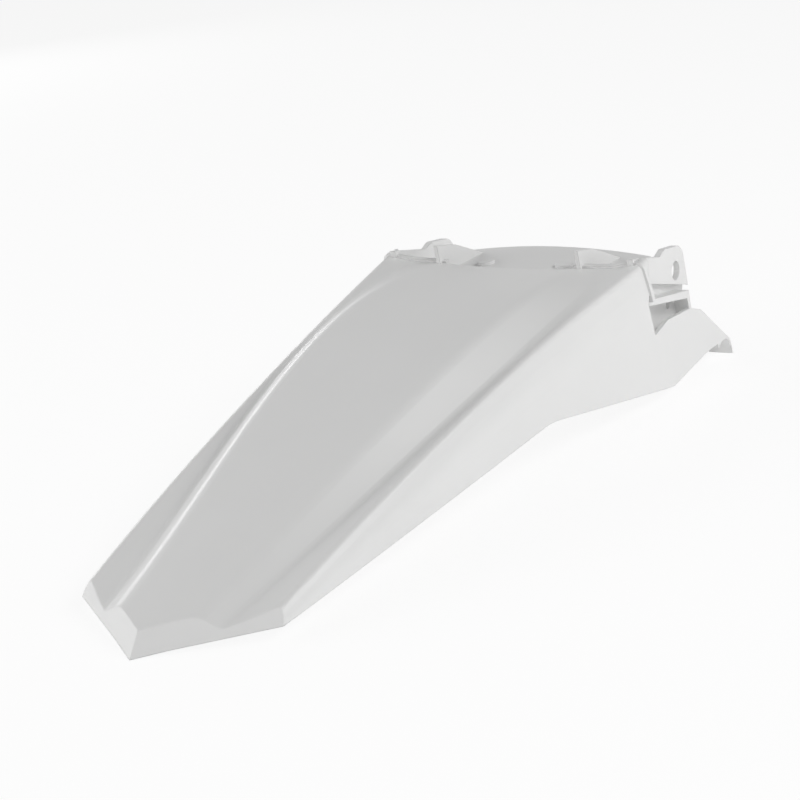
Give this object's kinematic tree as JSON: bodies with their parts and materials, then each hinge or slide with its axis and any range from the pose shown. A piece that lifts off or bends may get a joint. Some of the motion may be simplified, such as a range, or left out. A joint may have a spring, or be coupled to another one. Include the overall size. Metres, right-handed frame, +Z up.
{
  "type": "motorcycle rear fender",
  "caption": "White moulded rear fender for an off-road motorcycle: arched shell with an arrow-shaped tail, side skirts, grommet tabs and tube hooks at the front.",
  "frame": {"origin": "middle of the bounding box on the floor, with the fender resting on its tail lip and its hooks", "axes": "+X forward towards the mounts, +Y to the rider's left, +Z up"},
  "size_m": [0.616, 0.216, 0.1164],
  "materials": {
    "white_plastic": "injection-moulded polypropylene, semi-gloss white"
  },
  "bodies": {
    "root": {"rear_fender": "white_plastic"}
  },
  "joints": []
}
